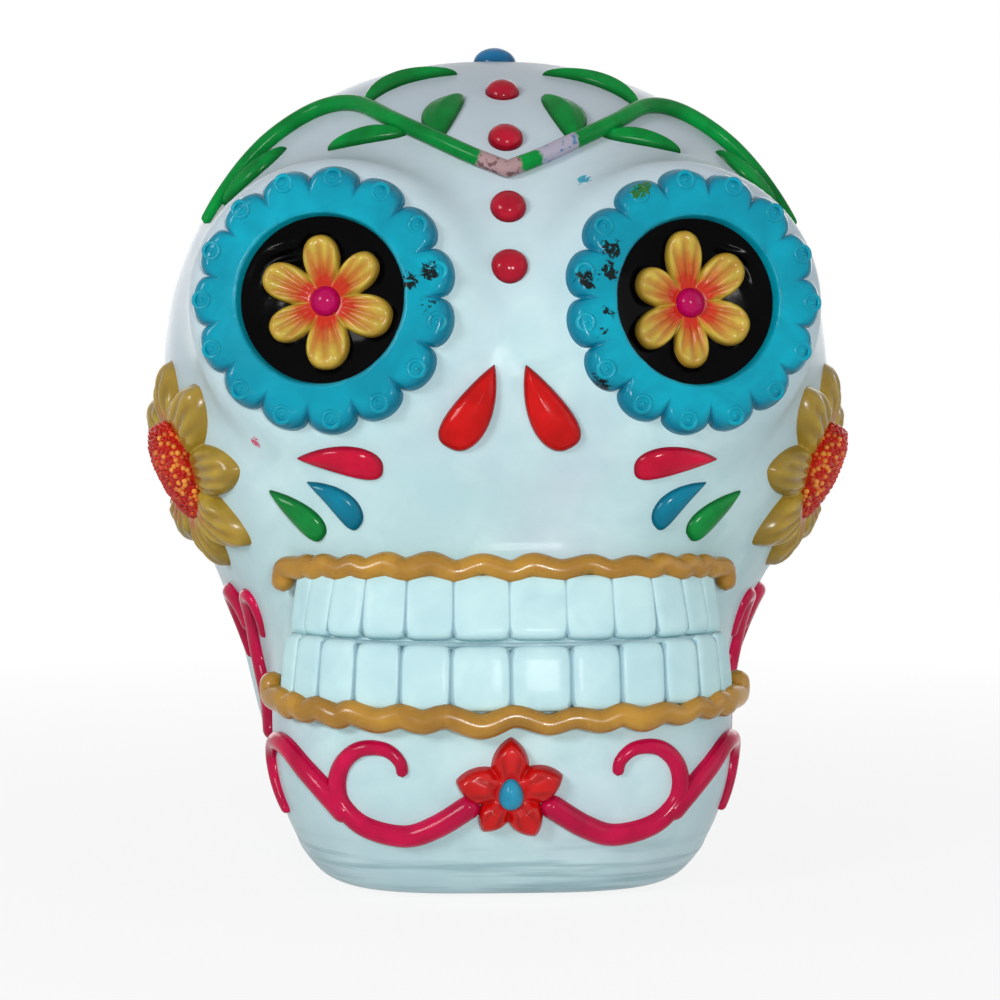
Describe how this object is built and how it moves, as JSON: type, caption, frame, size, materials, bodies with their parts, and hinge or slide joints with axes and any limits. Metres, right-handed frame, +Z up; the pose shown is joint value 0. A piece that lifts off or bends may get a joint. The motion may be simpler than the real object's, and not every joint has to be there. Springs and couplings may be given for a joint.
{
  "type": "sugar skull",
  "caption": "Hollow cast skull ornament on a flat jaw, with scalloped eye rosettes, rows of teeth between wavy trims, and raised flowers, scrolls, beads and a leafy vine.",
  "frame": {"origin": "on the surface that the skull stands on, under the middle of its bounding box", "axes": "+Z up to the crown, the face looks along -Y, +X is to the right of a viewer in front of the face"},
  "size_m": [0.1366, 0.149, 0.1618],
  "materials": {
    "white_casting": "glossy varnish over white paint",
    "white_teeth": "glossy varnish over white paint",
    "turquoise_rosette": "glossy varnish over turquoise paint",
    "black_dish": "glossy varnish over black paint",
    "ochre_eye_petals": "glossy varnish over ochre paint, blended to orange-red inwards",
    "magenta_bead": "glossy varnish over magenta paint",
    "red_nose": "glossy varnish over red paint",
    "crimson_petal": "glossy varnish over crimson paint",
    "blue_petal": "glossy varnish over blue paint",
    "green_petal": "glossy varnish over green paint",
    "gold_trim": "glossy varnish over gold-ochre paint",
    "red_chin_flower": "glossy varnish over red paint",
    "sky_blue_bead": "glossy varnish over sky-blue paint",
    "crimson_scroll": "glossy varnish over pink-crimson paint",
    "ochre_temple_petals": "glossy varnish over ochre paint",
    "orange_seed_head": "glossy varnish over orange-red paint with yellow specks",
    "green_vine": "glossy varnish over green paint, worn near the middle",
    "crimson_bead": "glossy varnish over crimson paint",
    "blue_crown_bead": "glossy varnish over blue paint"
  },
  "bodies": {
    "root": {"skull_shell": "white_casting", "upper_teeth": "white_teeth", "lower_teeth": "white_teeth", "eye_rosette_right": "turquoise_rosette", "eye_rosette_left": "turquoise_rosette", "eye_dish_right": "black_dish", "eye_dish_left": "black_dish", "eye_flower_right": "ochre_eye_petals", "eye_flower_left": "ochre_eye_petals", "eye_bead_right": "magenta_bead", "eye_bead_left": "magenta_bead", "nose_drop_right": "red_nose", "nose_drop_left": "red_nose", "cheek_petal_crimson_right": "crimson_petal", "cheek_petal_crimson_left": "crimson_petal", "cheek_petal_blue_right": "blue_petal", "cheek_petal_blue_left": "blue_petal", "cheek_petal_green_right": "green_petal", "cheek_petal_green_left": "green_petal", "upper_trim": "gold_trim", "lower_trim": "gold_trim", "chin_flower": "red_chin_flower", "chin_bead": "sky_blue_bead", "jaw_scroll_right": "crimson_scroll", "jaw_scroll_left": "crimson_scroll", "side_scroll_right": "crimson_scroll", "side_scroll_left": "crimson_scroll", "temple_flower_right": "ochre_temple_petals", "temple_flower_left": "ochre_temple_petals", "temple_seed_head_right": "orange_seed_head", "temple_seed_head_left": "orange_seed_head", "vine": "green_vine", "leaf_broad_right": "green_vine", "leaf_broad_left": "green_vine", "leaf_crescent_right": "green_vine", "leaf_crescent_left": "green_vine", "leaf_brow_right": "green_vine", "leaf_brow_left": "green_vine", "leaf_tail_right": "green_vine", "leaf_tail_left": "green_vine", "forehead_bead_1": "crimson_bead", "forehead_bead_2": "crimson_bead", "forehead_bead_3": "crimson_bead", "forehead_bead_4": "crimson_bead", "crown_bead": "blue_crown_bead"}
  },
  "joints": []
}
